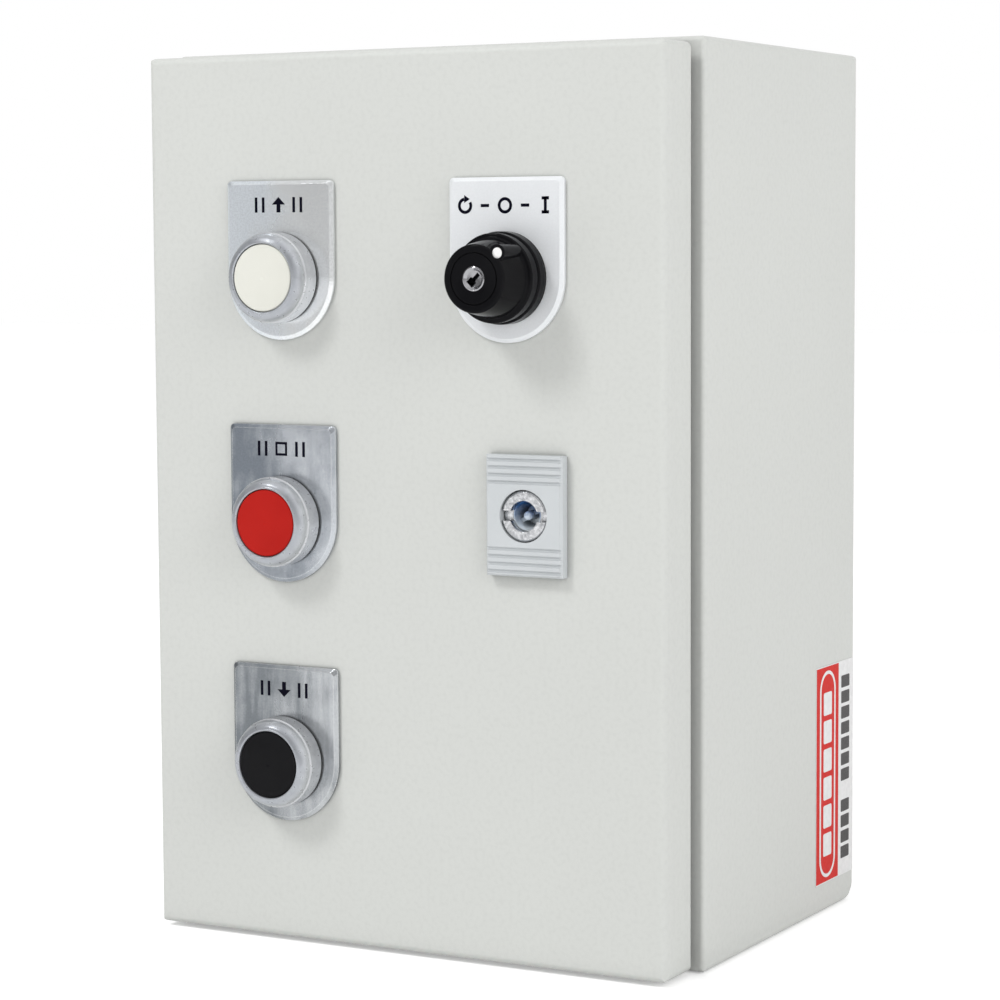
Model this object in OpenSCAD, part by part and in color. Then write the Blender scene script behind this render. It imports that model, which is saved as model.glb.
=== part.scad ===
// Wall-mounted control box for an automatic coop door.
// Frame: millimetres, +Z up, front of the box towards -Y.
// The origin is the centre of the four wall-fixing holes, on the back face.

/* [Enclosure] */
// Width of the steel body
body_w = 200; // [190:1:220]
// Height of the steel body
body_h = 300; // [290:1:340]
// Depth from the wall to the front of the closed door
overall_d = 150; // [145:1:170]
// Thickness of the body and door sheet
sheet = 1.5; // [1.2:0.1:1.5]
// Width of the rain gutter round the door opening
gutter_w = 17.5; // [17.5:0.5:20]
// How far the gutter lip stands in front of the shoulder
lip_h = 12; // [9:0.5:12]

/* [Door] */
// Depth of the folded door edge
door_d = 18.5; // [16:0.1:20]
// Gap between the door edge and the body shoulder
door_gap = 4.2; // [3:0.1:5]
// Margin from the side of the body to the door
door_side_margin = 3; // [2.4:0.1:3]
// Margin from the top of the body to the door
door_top_margin = 2; // [2:0.1:4]
// Margin from the bottom of the body to the door
door_bottom_margin = 1; // [1:0.5:3]
// Radius of the folded door edges
door_fold_r = 2.4; // [2:0.1:3]
// Radius of the large bend at the foot of the back
back_bend_r = 10; // [4:0.5:12]
// Radius of the welded and ground door corners
door_corner_r = 2.6; // [1:0.1:4]

/* [Controls] */
// Distance of the push buttons left of the centre line
button_x = 44; // [42:0.2:46]
// Distance of the key selector right of the centre line
selector_x = 41.4; // [38:0.2:44]
// Height of the upper controls above the middle of the box
upper_row_z = 74.2; // [70:0.2:78]
// Vertical pitch of the push buttons
button_pitch = 81; // [78:0.1:84]
// Travel of a push button
button_travel = 3; // [2:0.5:3]
// Distance of the door lock right of the centre line
lock_x = 48.5; // [46:0.1:50]
// Height of the door lock above the middle of the box
lock_z = -1.6; // [-6:0.2:2]

/* [Legend plates] */
// Width of a legend plate
legend_w = 41.4; // [40:0.2:44]
// Height of the straight part of a legend plate, above the control's axis
legend_rise = 32; // [30:0.5:34]
// Thickness of a legend plate
legend_t = 2; // [1.5:0.1:2]

/* [Equipment] */
// Number of grey feed-through terminals
terminal_count = 12; // [8:1:14]
// Height of the upper rail above the middle of the box
upper_rail_z = 74; // [72:1:78]
// Height of the middle rail
middle_rail_z = -14; // [-18:1:-12]
// Height of the lower rail
lower_rail_z = -94; // [-98:1:-90]

/* [Hidden] */
$fn = 96;
eps = 0.01;

// Planes along Y
shoulder_y = -(overall_d - door_d - door_gap);
door_front_y = -overall_d;
door_back_y = door_front_y + door_d;
plate_front_y = -14;

// Door outline
door_w = body_w - 2 * door_side_margin;
door_h = body_h - door_top_margin - door_bottom_margin;
door_mid_z = (door_bottom_margin - door_top_margin) / 2;

// Opening inside the gutter lip
opening_w = body_w - 2 * gutter_w;
opening_h = body_h - 2 * gutter_w;

// Wall fixing
wall_hole_r = 4;
wall_x = 82;
wall_z = 132;

// Mounting plate on its studs
plate_w = 148;
plate_h = 248;
plate_t = 1.5;
stud_x = 64;
stud_z = 118;
stud_r = 3;

// Hinge: the axis lies inside the left edge of the door
hinge_x = -(body_w / 2) + 7.7;
hinge_y = shoulder_y - 10.6;
hinge_z = [-106, 106];
pin_r = 2;
knuckle_r = 3.2;
knuckle_h = 13.6;
lug_t = 2;
running = 0.06;

// Controls, as [x, z] on the door
open_at = [-button_x, upper_row_z];
stop_at = [-button_x, upper_row_z - button_pitch];
close_at = [-button_x, upper_row_z - 2 * button_pitch];
selector_at = [selector_x, upper_row_z];
lock_at = [lock_x, lock_z];
button_places = [open_at, stop_at, close_at];
control_places = [open_at, stop_at, close_at, selector_at];

// Control barrel and its parts, in height above the door's front face
barrel_r = 11;
barrel_end = -20;
panel_hole_r = 11.3;
seal_t = 0.9;
bezel_foot = legend_t + seal_t;
bezel_r = 15;
cap_r = 11.1;
cap_top = bezel_foot + 9.7;
cap_t = 5;
guide_r = 8;
stem_r = 3;
stem_end = -24;
spring_top = -4;
spring_end = -18;
spring_turns = 5;
nut_t = 5.5;
block_top = barrel_end - 0.5;
block_d = 25;

// Key selector
selector_top = 22.8;
skirt_foot = 6.8;
skirt_top = 11;
key_r = 3.9;
selector_turn = -45;

// Door lock
lock_plate_size = [27.6, 39, 4];
lock_r = 8.2;
lock_bore_r = 5;
lock_face = 1.2;
lock_rim = 3.2;
bowl_floor = -4.5;
wing_angle = 30;
lock_cam_top = door_front_y - shoulder_y - sheet - 0.3;
lock_cam_t = 3;
lock_reach = 43;
cam_screw_r = 2;

// Rails
rail_w = 35;
rail_d = 7.5;
rail_len = 140;

// Equipment on the rails: [x of the left side, width]
breaker_span = [-66, 36];
supply_span = [-26, 36];
timer_span = [14, 52];
open_contactor_span = [-62, 45];
interlock_span = [-16.8, 9.6];
close_contactor_span = [-7, 45];
terminal_pitch = 5.2;
terminal_x = -48;
module_d = 46;
module_nose_d = 60;
contactor_d = 57;
contactor_h = 58;

toggle_side = 5.5;
toggle_v = 52;
toggle_tilt = 25;
dial_r = 20.5;
carrier = [10, 8];
carrier_travel = 2.5;
// Depth left under the carrier when it is fully pulled in
carrier_spare = 0.2;
duct_size = [140, 23, 38];
duct_z = -57.5;
wire_r = 1.1;
earth_x = terminal_x + terminal_count * terminal_pitch;
upper_low_z = upper_rail_z - 43;
contactor_top_z = middle_rail_z + contactor_h / 2;
contactor_low_z = middle_rail_z - contactor_h / 2;
terminal_top_z = lower_rail_z + 22;

// Door loom, as a path of [x, y, z] points from the plate to the door
loom_r = 3.2;
loom_path = [[-72, -30, -57.5], [-75, -60, -55], [-75.5, -100, -48], [-75, -116, -36], [-72, -128, -20],
             [-67, -134, -6], [-63.5, -132, 4]];

// Cable entries in the gland plate
entry_x = [-40, 0, 40];
entry_y = -68;
entry_bore_r = 5;
entry_hole_r = 8;
gland_window = [140, 70];
gland_size = [158, 88];

// ---------------------------------------------------------------- helpers

// Children drawn with +Z pointing out of the door, at a control's place
module on_door(at) translate([at[0], door_front_y, at[1]]) rotate([90, 0, 0]) children();

// Children drawn with +Z pointing towards the front, on the mounting plate
module on_plate(x, z) translate([x, plate_front_y, z]) rotate([90, 0, 0]) children();

// Children drawn with +Z pointing towards the front, on a rail's outer face
module on_rail(x, z) translate([x, plate_front_y - rail_d, z]) rotate([90, 0, 0]) children();

// Box centred in X and Y, standing on Z = 0
module block(size) translate([-size[0] / 2, -size[1] / 2, 0]) cube(size);

// Box from one corner to the opposite one
module span(low, high) translate(low) cube(high - low);

// Rectangle with round corners, centred
module round_rect(w, h, r) {
    square([w - 2 * r, h], center = true);
    square([w, h - 2 * r], center = true);
    for (i = [-1, 1], j = [-1, 1]) translate([i * (w / 2 - r), j * (h / 2 - r)]) circle(r);
}

// Hollow cylinder
module tube(r_out, r_in, h) difference() {
    cylinder(r = r_out, h = h);
    translate([0, 0, -1]) cylinder(r = r_in, h = h + 2);
}

// Flat ring of a rectangular frame, drawn in the XZ plane and extruded towards -Y
module frame_xz(outer, inner, y, t) translate([0, y, 0]) rotate([90, 0, 0])
    linear_extrude(t) difference() {
        square(outer, center = true);
        square(inner, center = true);
    }

// Points of an arc, from angle a to angle b
function arc(c, r, a, b, n = 8) =
    [for (i = [0 : n]) let (t = a + (b - a) * i / n) [c[0] + r * cos(t), c[1] + r * sin(t)]];

// ------------------------------------------------------------ steel body

// Outside of a box folded from sheet: front edges with one radius, back edges with another
module folded_solid(w, h, front_y, back_y, front_r, top_back_r, bottom_back_r, corner_r, grow = 0) {
    gw = w + 2 * grow;
    gh = h + 2 * grow;
    depth = back_y - front_y;
    intersection() {
        translate([0, back_y, 0]) rotate([90, 0, 0]) linear_extrude(depth) round_rect(gw, gh, corner_r);
        rotate([90, 0, 90]) translate([0, 0, -gw]) linear_extrude(2 * gw) polygon(concat(
            arc([front_y + front_r, -gh / 2 + front_r], front_r, 180, 270),
            arc([back_y - bottom_back_r, -gh / 2 + bottom_back_r], bottom_back_r, 270, 360),
            arc([back_y - top_back_r, gh / 2 - top_back_r], top_back_r, 0, 90),
            arc([front_y + front_r, gh / 2 - front_r], front_r, 90, 180)
        ));
        translate([0, 0, -gh]) linear_extrude(2 * gh) polygon(concat(
            arc([-gw / 2 + front_r, front_y + front_r], front_r, 180, 270),
            arc([gw / 2 - front_r, front_y + front_r], front_r, 270, 360),
            arc([gw / 2 - top_back_r, back_y - top_back_r], top_back_r, 0, 90),
            arc([-gw / 2 + top_back_r, back_y - top_back_r], top_back_r, 90, 180)
        ));
    }
}

// One lug that holds a hinge pin, welded into the corner between lip and shoulder
module hinge_lug() difference() {
    union() {
        cylinder(r = knuckle_r, h = lug_t);
        translate([0, shoulder_y - lip_h + 0.1 - hinge_y, 0])
            cube([-opening_w / 2 - hinge_x + eps, lip_h - 0.1 + eps, lug_t]);
    }
    translate([0, 0, -1]) cylinder(r = pin_r, h = lug_t + 2);
}

// Keeps the sheet one thickness through the large bend at the foot of the back
module back_bend_inside() {
    r = back_bend_r - sheet;
    translate([-body_w / 2 + sheet, -back_bend_r, -body_h / 2 + sheet]) difference() {
        cube([body_w - 2 * sheet, r, r]);
        translate([-1, 0, r]) rotate([0, 90, 0]) cylinder(r = r, h = body_w);
    }
}

module body_shell() color("gainsboro") {
    difference() {
        union() {
            difference() {
                folded_solid(body_w, body_h, shoulder_y, 0, 1.8, 1.6, back_bend_r, 2);
                span([-body_w / 2 + sheet, shoulder_y + sheet, -body_h / 2 + sheet],
                     [body_w / 2 - sheet, -sheet, body_h / 2 - sheet]);
                span([-opening_w / 2, shoulder_y - 1, -opening_h / 2],
                     [opening_w / 2, shoulder_y + 2, opening_h / 2]);
            }
            frame_xz([opening_w, opening_h], [opening_w - 2 * sheet, opening_h - 2 * sheet],
                     shoulder_y + sheet, lip_h + sheet);
            back_bend_inside();
        }
        for (x = [-wall_x, wall_x], z = [-wall_z, wall_z])
            translate([x, 1, z]) rotate([90, 0, 0]) cylinder(r = wall_hole_r, h = sheet + 2);
        translate([0, entry_y, -body_h / 2 - 1]) linear_extrude(sheet + 2)
            square(gland_window, center = true);
        for (p = gland_screw_places) translate([p[0], p[1], -body_h / 2 - 1])
            cylinder(r = 2, h = sheet + 2);
    }
    for (z = hinge_z) for (side = [-1, 1])
        translate([hinge_x, hinge_y, z + side * (knuckle_h / 2 + 0.2 + lug_t / 2) - lug_t / 2]) hinge_lug();
    for (x = [-stud_x, stud_x], z = [-stud_z, stud_z])
        translate([x, -sheet + eps, z]) rotate([90, 0, 0]) {
            cylinder(r = stud_r, h = 19.5);
            cylinder(r = 7, h = -plate_front_y - plate_t - sheet);
        }
}

gland_screw_places = [for (x = [-74, 0, 74], y = [-39.5, 39.5]) [x, entry_y + y]];

module mounting_plate() color("silver") difference() {
    on_plate(0, 0) translate([0, 0, -plate_t]) linear_extrude(plate_t) round_rect(plate_w, plate_h, 4);
    for (x = [-stud_x, stud_x], z = [-stud_z, stud_z])
        on_plate(x, z) translate([0, 0, -5]) cylinder(r = stud_r + 0.3, h = 10);
}

module plate_nuts() color("lightgray")
    for (x = [-stud_x, stud_x], z = [-stud_z, stud_z]) on_plate(x, z) {
        difference() {
            union() {
                cylinder(r = 6.2, h = 1.2);
                translate([0, 0, 1.2]) cylinder(r = 5.8, h = 4.8, $fn = 6);
            }
            translate([0, 0, -1]) cylinder(r = stud_r + 0.05, h = 10);
        }
    }

module gland_plate() color("gainsboro") difference() {
    translate([0, entry_y, -body_h / 2 + 2 * sheet]) linear_extrude(sheet)
        round_rect(gland_size[0], gland_size[1], 3);
    for (x = entry_x) translate([x, entry_y, -body_h / 2]) cylinder(r = entry_hole_r, h = 10);
    for (p = gland_screw_places) translate([p[0], p[1], -body_h / 2]) cylinder(r = 2.1, h = 10);
}

module gland_plate_seal() color("dimgray") difference() {
    translate([0, entry_y, -body_h / 2 + sheet]) linear_extrude(sheet) difference() {
        square(gland_size, center = true);
        square(gland_window, center = true);
    }
    for (p = gland_screw_places) translate([p[0], p[1], -body_h / 2]) cylinder(r = 2.4, h = 10);
}

module gland_plate_screws() color("silver")
    for (p = gland_screw_places) translate([p[0], p[1], -body_h / 2]) difference() {
        union() {
            translate([0, 0, 0.2]) cylinder(r = 1.95, h = 3 * sheet - 0.2);
            translate([0, 0, 3 * sheet]) cylinder(r = 3.8, h = 2.4);
        }
        translate([0, 0, 3 * sheet + 1.4]) block([5, 0.9, 2]);
        translate([0, 0, 3 * sheet + 1.4]) block([0.9, 5, 2]);
    }

module entry_grommets() color("dimgray")
    for (x = entry_x) translate([x, entry_y, -body_h / 2 + 2 * sheet]) rotate_extrude()
        polygon([[entry_bore_r, -2.2], [entry_hole_r + 3, -2.2], [entry_hole_r + 3, 0], [entry_hole_r, 0],
                 [entry_hole_r, sheet], [entry_hole_r + 2.4, sheet], [entry_hole_r + 1.6, sheet + 2.6],
                 [entry_bore_r, sheet + 2.6]]);

module hinge_pins() color("silver")
    for (z = hinge_z) translate([hinge_x, hinge_y, z]) {
        translate([0, 0, -knuckle_h / 2 - lug_t - 1.6])
            cylinder(r = pin_r, h = knuckle_h + 2 * lug_t + 1.8);
        translate([0, 0, knuckle_h / 2 + lug_t + 0.2]) cylinder(r = pin_r + 1, h = 1.4);
    }

module side_sticker() color("white")
    span([body_w / 2, -35.2, -body_h / 2 + 10.3], [body_w / 2 + 0.2, -1.4, -body_h / 2 + 87.2]);

// ------------------------------------------------------------------ door

// Inside of the folded door
module door_hollow() span(
    [-door_w / 2 + sheet, door_front_y + sheet, door_mid_z - door_h / 2 + sheet],
    [door_w / 2 - sheet, door_back_y + 1, door_mid_z + door_h / 2 - sheet]);

// Knuckle and web welded behind the door sheet
module door_knuckle() difference() {
    union() {
        translate([0, 0, -knuckle_h / 2]) cylinder(r = knuckle_r, h = knuckle_h);
        span([-2.4, door_front_y + sheet - hinge_y - eps, -knuckle_h / 2], [2.4, 0, knuckle_h / 2]);
    }
    translate([0, 0, -knuckle_h]) cylinder(r = pin_r + running, h = 2 * knuckle_h);
}

module door_shell() color("gainsboro") {
    difference() {
        translate([0, 0, door_mid_z])
            folded_solid(door_w, door_h, door_front_y, door_back_y, door_fold_r, 0.4, 0.4, door_corner_r);
        door_hollow();
        for (at = control_places) on_door(at) translate([0, 0, -10]) cylinder(r = panel_hole_r, h = 20);
        on_door(lock_at) translate([0, 0, -10]) cylinder(r = lock_r + 0.3, h = 20);
        for (z = hinge_z)
            span([-door_w / 2 - 1, hinge_y - knuckle_r - 0.6, z - knuckle_h / 2 - lug_t - 2.2],
                 [-door_w / 2 + sheet + 0.2, door_back_y + 1, z + knuckle_h / 2 + lug_t + 2.2]);
    }
    for (z = hinge_z) translate([hinge_x, hinge_y, z]) door_knuckle();
}

module door_gasket() color("dimgray")
    frame_xz([opening_w + 8.5, opening_h + 8.5], [opening_w - 11.5, opening_h - 11.5],
             shoulder_y - lip_h - 0.1, shoulder_y - lip_h - 0.1 - door_front_y - sheet);

// -------------------------------------------------------- legend plates

// Outline of a legend plate: square top, half-round bottom
module legend_outline(inset) {
    r = legend_w / 2 - inset;
    circle(r);
    translate([-r, 0]) square([2 * r, legend_rise - inset - 1.5]);
    translate([-r + 1.5, 0]) square([2 * r - 3, legend_rise - inset]);
    for (i = [-1, 1]) translate([i * (r - 1.5), legend_rise - inset - 1.5]) circle(1.5);
}

module legend_plate(at) color("silver") on_door(at) difference() {
    hull() {
        linear_extrude(legend_t - 0.9) legend_outline(0);
        linear_extrude(legend_t) legend_outline(1.2);
    }
    translate([0, 0, -1]) cylinder(r = panel_hole_r, h = 5);
}

// --------------------------------------------------------- push buttons

module bezel_seal(at) on_door(at) translate([0, 0, legend_t]) tube(bezel_r - 0.2, barrel_r + 0.1, seal_t);

module panel_nut(at) on_door(at) translate([0, 0, -sheet - nut_t]) difference() {
    union() {
        cylinder(r = 14, h = nut_t);
        translate([0, 0, nut_t - 1.5]) cylinder(r = 15, h = 1.5);
    }
    translate([0, 0, -1]) cylinder(r = barrel_r, h = nut_t + 2);
    for (a = [0 : 30 : 330]) rotate(a) translate([14.4, 0, -1])
        cylinder(r = 1.3, h = nut_t - 0.5, $fn = 24);
}

// Silver ring and its threaded barrel in one moulding
module button_bezel(at) color("silver") on_door(at) rotate_extrude() polygon(concat(
    [[guide_r, spring_end], [stem_r + 0.4, spring_end], [stem_r + 0.4, barrel_end], [barrel_r, barrel_end],
     [barrel_r, bezel_foot], [bezel_r, bezel_foot],
     [bezel_r, bezel_foot + 5.9], [14.65, bezel_foot + 6.25]],
    arc([11, bezel_foot + 6.45], 3.55, 0, 72, 8),
    arc([11.75, bezel_foot + 9.55], 0.45, 45, 180, 5),
    [[cap_r + 0.2, cap_top - cap_t - button_travel - 0.6], [guide_r, cap_top - cap_t - button_travel - 0.6]]
));

module button_cap(at, tint) color(tint) on_door(at) rotate_extrude() polygon(concat(
    [[0, cap_top - cap_t], [cap_r, cap_top - cap_t]],
    arc([cap_r - 0.5, cap_top - 0.55], 0.5, 0, 80, 4),
    [[6, cap_top - 0.01], [0, cap_top]]
));

// Plunger: head in the bezel's bore, stem down to the contact block
module button_plunger(at) color("dimgray") on_door(at) rotate_extrude() polygon([
    [0, stem_end], [stem_r - 0.6, stem_end], [stem_r, stem_end + 0.6], [stem_r, spring_top],
    [guide_r - running, spring_top], [guide_r - running, cap_top - cap_t], [0, cap_top - cap_t]]);

// Return spring as one solid of close turns round the stem
module button_spring(at) color("silver") on_door(at) translate([0, 0, spring_end + eps]) {
    pitch = (spring_top - spring_end - 2 * eps) / spring_turns;
    rotate_extrude() polygon(concat(
        [for (i = [0 : spring_turns - 1], p = [[5.7, 0.02], [6.2, 0.3], [6.2, 0.7], [5.7, 0.98]])
            [p[0], (i + p[1]) * pitch]],
        [[5.1, (spring_turns - 0.02) * pitch], [5.1, 0.02 * pitch]]
    ));
}

// Contact block clipped behind a control, with two terminals at each end
module contact_block(at, reach_r) on_door(at) translate([0, 0, block_top - block_d]) difference() {
    union() {
        block([29, 30, block_d]);
        block([26, 40, block_d - 9]);
        translate([0, 0, block_d]) tube(13.4, barrel_r + 0.3, 7);
    }
    translate([0, 0, block_d - 9]) cylinder(r = reach_r, h = 20);
    for (x = [-7, 7], y = [-16.6, 16.6]) translate([x, y, block_d - 14]) cylinder(r = 3, h = 10);
    for (x = [-7, 7], s = [-1, 1]) translate([x, s * 18, 3]) block([6.4, 6, 6]);
    translate([0, 0, -1]) block([0.8, 50, 2.2]);
}

// ---------------------------------------------------------- key selector

module selector_bezel() color("#202124") on_door(selector_at) rotate_extrude() polygon(concat(
    [[guide_r, barrel_end], [barrel_r, barrel_end], [barrel_r, bezel_foot], [bezel_r - 0.2, bezel_foot]],
    arc([bezel_r - 0.9, skirt_foot - 0.9], 0.7, 0, 90, 4),
    [[guide_r, skirt_foot - 0.2]]
));

// Turning cap with its pointer nose; drawn pointing up, then turned to its rest position
module selector_knob() color("#17181a") on_door(selector_at) rotate(selector_turn) difference() {
    union() {
        rotate_extrude() polygon(concat(
            [[0, skirt_foot], [14.3, skirt_foot]],
            arc([13.5, skirt_top - 0.8], 0.8, 0, 90, 6),
            arc([13.5, skirt_top + 0.9], 0.9, 270, 180, 6),
            arc([10, selector_top - 0.9], 0.9, 0, 90, 6),
            [[0, selector_top]]
        ));
        translate([-2.7, 8, skirt_top - 1]) cube([5.4, 3.4, selector_top - skirt_top + 0.4]);
        translate([0, 11.4, skirt_top - 1]) cylinder(r = 2.7, h = selector_top - skirt_top + 0.4);
    }
    translate([0, 0, selector_top - 0.5]) tube(8.35, 7.95, 2);
    translate([0, 0, skirt_foot - 1]) cylinder(r = key_r + 0.05, h = 30);
    translate([0, 11.4, selector_top - 1.1]) cylinder(r = 1.75, h = 2);
}

// Key barrel: the dished end and the keyway turn with the knob
module key_barrel() color("gainsboro") on_door(selector_at) rotate(selector_turn) difference() {
    rotate_extrude() polygon([
        [0, skirt_foot], [key_r, skirt_foot],
        [key_r, selector_top + 0.1], [key_r - 0.4, selector_top + 0.3],
        [2.6, selector_top - 0.5], [0, selector_top - 0.7]]);
    translate([-0.65, -2.6, selector_top - 9]) cube([1.3, 4.8, 12]);
    translate([-1.3, -2.6, selector_top - 9]) cube([2.6, 2.2, 12]);
}

// Shaft behind the knob, ending in the cam that works the contact block
module selector_rotor() color("dimgray") on_door(selector_at) rotate(selector_turn) {
    translate([0, 0, barrel_end - 1]) cylinder(r = guide_r - running, h = skirt_foot - barrel_end + 1);
    difference() {
        translate([0, 0, stem_end]) cylinder(r = guide_r - running, h = 4);
        translate([-guide_r, 3, stem_end - 1]) cube([2 * guide_r, guide_r, 3]);
    }
}

// ------------------------------------------------------------- door lock

module lock_plate() color("lightgray") on_door(lock_at) difference() {
    hull() {
        block([lock_plate_size[0], lock_plate_size[1], lock_plate_size[2] - 1]);
        block([lock_plate_size[0] - 1.6, lock_plate_size[1] - 1.2, lock_plate_size[2]]);
    }
    translate([0, 0, -1]) cylinder(r = lock_r + 0.3, h = 10);
    for (s = [-1, 1], i = [0 : 3])
        translate([0, s * (lock_plate_size[1] / 2 - 1.6 - 2.4 * i), lock_plate_size[2] - 0.45])
            block([lock_plate_size[0] + 1, 1, 2]);
}

module lock_housing() color("silver") on_door(lock_at) difference() {
    union() {
        translate([0, 0, -17]) cylinder(r = lock_r, h = 17 + lock_rim);
        translate([0, 0, lock_rim]) cylinder(r1 = lock_r, r2 = lock_r - 0.7, h = 0.5);
        translate([0, 0, -19]) cylinder(r = 7, h = 3);
    }
    translate([0, 0, -20]) cylinder(r = lock_bore_r, h = 40);
    translate([0, 0, lock_rim - 2]) block([3 * lock_r, 3.3, 5]);
}

module lock_nut() color("silver") on_door(lock_at) translate([0, 0, -sheet - 4.5]) difference() {
    cylinder(r = 12.7, h = 4.5, $fn = 6);
    translate([0, 0, -1]) cylinder(r = lock_r + 0.05, h = 10);
}

// Turning insert: a round pin with two wings in a bowl, and a square tail for the cam
module lock_barrel() color("lightsteelblue") on_door(lock_at) difference() {
    union() {
        difference() {
            translate([0, 0, lock_cam_top])
                cylinder(r = lock_bore_r - running, h = lock_face - lock_cam_top);
            translate([0, 0, bowl_floor])
                cylinder(r1 = 3, r2 = lock_bore_r - 0.4, h = lock_face - bowl_floor + 0.1);
        }
        translate([0, 0, bowl_floor - 1]) rotate_extrude()
            polygon(concat([[0, 0], [1.5, 0]], arc([0, 5.8], 1.5, 0, 90, 6)));
        translate([0, 0, bowl_floor - 1]) rotate(wing_angle) block([8.4, 1.4, 4]);
        translate([0, 0, lock_cam_top - lock_cam_t + 0.2]) block([6, 6, lock_cam_t]);
    }
    translate([0, 0, lock_cam_top - lock_cam_t - 1]) cylinder(r = cam_screw_r, h = 12);
}

// Cam that swings behind the body shoulder; it hangs down when the door is unlocked
module lock_cam() color("silver")
    on_door(lock_at) translate([0, 0, lock_cam_top - lock_cam_t]) difference() {
    union() {
        cylinder(r = 9, h = lock_cam_t);
        translate([-8, -lock_reach + 8, 0]) cube([16, lock_reach - 8, lock_cam_t]);
        translate([0, -lock_reach + 8, 0]) cylinder(r = 8, h = lock_cam_t);
    }
    translate([0, 0, -1]) block([6.1, 6.1, lock_cam_t + 2]);
}

module cam_screw() color("silver") on_door(lock_at) translate([0, 0, lock_cam_top - lock_cam_t]) {
    translate([0, 0, -4]) cylinder(r = 5.5, h = 4, $fn = 6);
    cylinder(r = cam_screw_r, h = 9);
}

// ------------------------------------------------------------- equipment

// Top-hat rail, drawn across X
module din_rail(z)
    on_plate(0, z) rotate([90, 0, 90]) translate([0, 0, -rail_len / 2]) linear_extrude(rail_len)
    polygon([[-12.5, 0], [12.5, 0], [12.5, 6.5], [17.5, 6.5], [17.5, 7.5], [11.5, 7.5], [11.5, 1],
             [-11.5, 1], [-11.5, 7.5], [-17.5, 7.5], [-17.5, 6.5], [-12.5, 6.5]]);

module din_rails() color("silver") difference() {
    for (z = [upper_rail_z, middle_rail_z, lower_rail_z]) din_rail(z);
    for (z = [upper_rail_z, middle_rail_z, lower_rail_z], x = [-66.5, 66.5])
        on_plate(x, z) translate([0, 0, -1]) cylinder(r = 2.2, h = 4);
}

module rail_screws() color("silver")
    for (z = [upper_rail_z, middle_rail_z, lower_rail_z], x = [-66.5, 66.5]) on_plate(x, z) difference() {
        union() {
            cylinder(r = 2.1, h = 1);
            translate([0, 0, 1]) cylinder(r = 3.6, h = 2.2);
        }
        translate([0, 0, 2.2]) block([5, 0.8, 2]);
        translate([0, 0, 2.2]) block([0.8, 5, 2]);
    }

// Side outline of a case that grips a rail: [height, depth] points, with stepped front
function rail_outline(h, body_d, nose_h, nose_d) = [
    [-rail_w / 2 - 0.1, 0], [-rail_w / 2 - 0.1, -1.1], [-rail_w / 2 + 3, -1.1], [-rail_w / 2 + 3, -2.6],
    [-rail_w / 2 - 3, -2.6], [-h / 2, 2], [-h / 2, body_d], [-nose_h / 2, body_d],
    [-nose_h / 2 + 1, nose_d], [nose_h / 2 - 1, nose_d],
    [nose_h / 2, body_d], [h / 2, body_d], [h / 2, 2], [rail_w / 2 + 3, -2.6],
    [rail_w / 2 - 3, -2.6], [rail_w / 2 - 3, -1.1], [rail_w / 2 + 0.1, -1.1], [rail_w / 2 + 0.1, 0]];

// Case of the given outline, from x to x + w
module rail_case(x, w, z, outline) on_rail(x, z) rotate([90, 0, 90]) linear_extrude(w) polygon(outline);

// Screw wells along the top and bottom of a case
module screw_wells(x, z, first, pitch, count, row, depth_v, r = 2.6)
    for (i = [0 : count - 1], s = [-1, 1])
        on_rail(x + first + i * pitch, z + s * row) translate([0, 0, depth_v - 4]) cylinder(r = r, h = 20);

module breaker_case() color("whitesmoke") difference() {
    rail_case(breaker_span[0], breaker_span[1], upper_rail_z,
        rail_outline(86, module_d, 46, module_nose_d));
    screw_wells(breaker_span[0], upper_rail_z, 9, 18, 2, 34, module_d);
    // Window of the toggle, and the pivot holes at its sides
    on_rail(breaker_span[0], upper_rail_z) {
        translate([toggle_side, -11, toggle_v - 8]) cube([breaker_span[1] - 2 * toggle_side, 22, 30]);
        translate([toggle_side - 2.9, 0, toggle_v]) rotate([0, 90, 0])
            cylinder(r = pin_r + running, h = breaker_span[1] - 2 * toggle_side + 5.8);
        // Joint between the two poles
        translate([breaker_span[1] / 2, 0, -5]) block([0.4, 100, 8]);
        translate([breaker_span[1] / 2 - 0.2, -50, module_nose_d - 0.5]) cube([0.4, 100, 2]);
    }
}

// Toggle bar, up when the breaker is on
module breaker_toggle() color("#20242c")
    on_rail(breaker_span[0], upper_rail_z) translate([0, 0, toggle_v]) {
    translate([toggle_side - 2.8, 0, 0]) rotate([0, 90, 0])
        cylinder(r = pin_r, h = breaker_span[1] - 2 * toggle_side + 5.6);
    translate([toggle_side + 0.3, 0, 0]) rotate([0, 90, 0])
        cylinder(r = 7.4, h = breaker_span[1] - 2 * toggle_side - 0.6);
    translate([breaker_span[1] / 2, 0, 0]) rotate([-toggle_tilt, 0, 0])
        block([breaker_span[1] - 2 * toggle_side - 3, 4.8, 15]);
}

module power_supply() color("#3a3d42") difference() {
    rail_case(supply_span[0], supply_span[1], upper_rail_z,
        rail_outline(86, module_d, 46, module_nose_d - 4));
    screw_wells(supply_span[0], upper_rail_z, 7.5, 7, 4, 34, module_d);
    on_rail(supply_span[0], upper_rail_z) {
        // Vent slots and the window of the voltage lamp
        for (i = [0 : 5]) translate([6 + i * 4.4, -16, module_nose_d - 5]) cube([2, 20, 4]);
        translate([28, 14, module_nose_d - 5]) cylinder(r = 1.6, h = 4);
    }
}

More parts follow.
